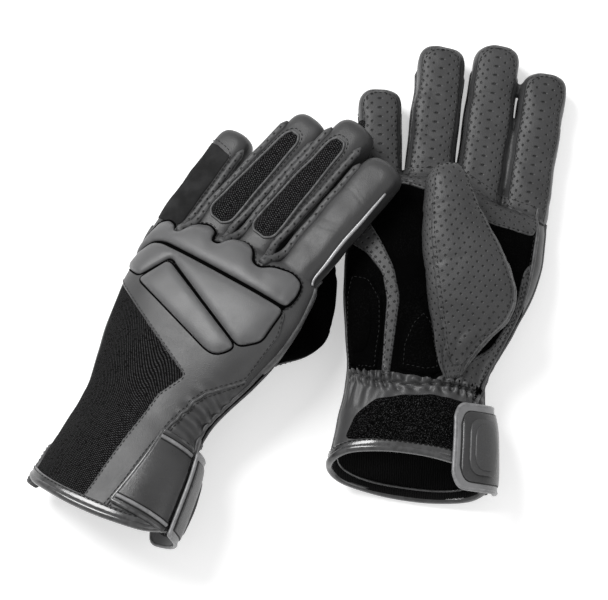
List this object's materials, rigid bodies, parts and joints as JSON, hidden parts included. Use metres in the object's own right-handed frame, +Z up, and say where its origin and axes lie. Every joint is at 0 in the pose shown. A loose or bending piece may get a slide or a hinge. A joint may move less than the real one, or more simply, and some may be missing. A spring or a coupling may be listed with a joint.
{
  "type": "riding gloves",
  "caption": "Pair of short leather riding gloves: padded knuckles and back, perforated palm, mesh cuff with a hook-and-loop wrist strap; digits curl and straps open.",
  "frame": {"origin": "middle of the pair's outline, on the table the gloves lie on", "axes": "+Z up from the table; +Y roughly towards the fingertips; +X across, from the back-up left glove to the palm-up right glove"},
  "size_m": [0.2994, 0.2922, 0.0588],
  "materials": {
    "leather": "matt fine-grained goatskin-like leather, near black, lighter where the light grazes it",
    "perforated_leather": "matt leather with a staggered grid of small punched holes",
    "mesh_fabric": "coarse woven stretch fabric, black with light specks between the yarns",
    "suede": "brushed black suede, very matt",
    "binding_leather": "smooth rolled edge binding with a soft shine",
    "loop_fabric": "fuzzy loop side of a hook-and-loop fastener",
    "hook_tape": "hook side of a hook-and-loop fastener",
    "badge_rubber": "moulded matt dark grey rubber",
    "lining": "soft brushed dark lining",
    "reflective_piping": "thin silver-grey reflective piping"
  },
  "bodies": {
    "left_hand": {"left_back_pad_chevron": "leather", "left_back_pad_inner": "leather", "left_back_panel": "leather", "left_cuff_back": "mesh_fabric", "left_cuff_binding": "binding_leather", "left_cuff_front": "leather", "left_heel_pad": "suede", "left_knuckle_pad": "leather", "left_lining": "lining", "left_loop_patch": "loop_fabric", "left_palm_panel": "perforated_leather", "left_palm_patch": "suede", "left_strap_base": "leather", "left_thumb_base_pad": "suede"},
    "right_hand": {"right_back_pad_chevron": "leather", "right_back_pad_inner": "leather", "right_back_panel": "leather", "right_cuff_back": "mesh_fabric", "right_cuff_binding": "binding_leather", "right_cuff_front": "leather", "right_heel_pad": "suede", "right_knuckle_pad": "leather", "right_lining": "lining", "right_loop_patch": "loop_fabric", "right_palm_panel": "perforated_leather", "right_palm_patch": "suede", "right_strap_base": "leather", "right_thumb_base_pad": "suede"},
    "left_index": {"left_index_back": "leather", "left_index_front": "perforated_leather", "left_index_reflective_piping": "reflective_piping"},
    "left_middle": {"left_middle_back": "leather", "left_middle_front": "perforated_leather", "left_middle_mesh_insert": "mesh_fabric"},
    "left_pinky": {"left_pinky_back": "leather", "left_pinky_front": "perforated_leather", "left_pinky_stretch_panel": "suede"},
    "left_ring": {"left_ring_back": "leather", "left_ring_front": "perforated_leather", "left_ring_mesh_insert": "mesh_fabric"},
    "left_strap": {"left_strap_tab": "leather", "left_hook_patch": "hook_tape", "left_strap_badge": "badge_rubber"},
    "left_thumb": {"left_thumb_stall": "perforated_leather"},
    "right_index": {"right_index_back": "leather", "right_index_front": "perforated_leather", "right_index_reflective_piping": "reflective_piping"},
    "right_middle": {"right_middle_back": "leather", "right_middle_front": "perforated_leather", "right_middle_mesh_insert": "mesh_fabric"},
    "right_pinky": {"right_pinky_back": "leather", "right_pinky_front": "perforated_leather", "right_pinky_stretch_panel": "suede"},
    "right_ring": {"right_ring_back": "leather", "right_ring_front": "perforated_leather", "right_ring_mesh_insert": "mesh_fabric"},
    "right_strap": {"right_strap_tab": "leather", "right_hook_patch": "hook_tape", "right_strap_badge": "badge_rubber"},
    "right_thumb": {"right_thumb_stall": "perforated_leather"}
  },
  "joints": [
    {"name": "left_pinky_curl", "type": "hinge", "parent": "left_hand", "child": "left_pinky", "pos_m": [-0.07049, 0.03919, 0.00705], "axis": [-0.7874, 0.5489, -0.2805], "range_deg": [-15, 52]},
    {"name": "left_ring_curl", "type": "hinge", "parent": "left_hand", "child": "left_ring", "pos_m": [-0.04373, 0.03707, 0.01431], "axis": [-0.7017, 0.6586, -0.2716], "range_deg": [-15, 70]},
    {"name": "left_middle_curl", "type": "hinge", "parent": "left_hand", "child": "left_middle", "pos_m": [-0.01972, 0.02594, 0.02215], "axis": [-0.7189, 0.639, -0.2737], "range_deg": [-18, 2]},
    {"name": "left_index_curl", "type": "hinge", "parent": "left_hand", "child": "left_index", "pos_m": [0.00224, 0.00805, 0.0303], "axis": [-0.7245, 0.6323, -0.2743], "range_deg": [-15, 1]},
    {"name": "left_thumb_swing", "type": "hinge", "parent": "left_hand", "child": "left_thumb", "pos_m": [-0.01976, -0.04151, 0.0186], "axis": [0.2563, -0.1223, -0.9588], "range_deg": [-8, 6]},
    {"name": "left_strap_open", "type": "hinge", "parent": "left_hand", "child": "left_strap", "pos_m": [-0.06544, -0.12165, 0.0451], "axis": [-0.3256, -0.9419, 0.0824], "range_deg": [0, 110]},
    {"name": "right_pinky_curl", "type": "hinge", "parent": "right_hand", "child": "right_pinky", "pos_m": [0.04324, 0.06237, 0.01636], "axis": [1, 0, 0], "range_deg": [-10, 20]},
    {"name": "right_ring_curl", "type": "hinge", "parent": "right_hand", "child": "right_ring", "pos_m": [0.07082, 0.06455, 0.017], "axis": [0.9925, -0.1219, 0], "range_deg": [-10, 40]},
    {"name": "right_middle_curl", "type": "hinge", "parent": "right_hand", "child": "right_middle", "pos_m": [0.09953, 0.06052, 0.017], "axis": [0.9877, -0.1564, 0], "range_deg": [-10, 40]},
    {"name": "right_index_curl", "type": "hinge", "parent": "right_hand", "child": "right_index", "pos_m": [0.12629, 0.04969, 0.017], "axis": [0.9848, -0.1736, 0], "range_deg": [-10, 70]},
    {"name": "right_thumb_swing", "type": "hinge", "parent": "right_hand", "child": "right_thumb", "pos_m": [0.09166, -0.02421, 0.04], "axis": [0, 0, -1], "range_deg": [0, 58]},
    {"name": "right_strap_open", "type": "hinge", "parent": "right_hand", "child": "right_strap", "pos_m": [0.10248, -0.09339, 0.01606], "axis": [0.006, 0.9986, -0.0521], "range_deg": [0, 110]},
    {"name": "right_glove_apart", "type": "slide", "parent": "left_hand", "child": "right_hand", "axis": [1, 0, 0], "range_m": [0, 0.15]}
  ]
}
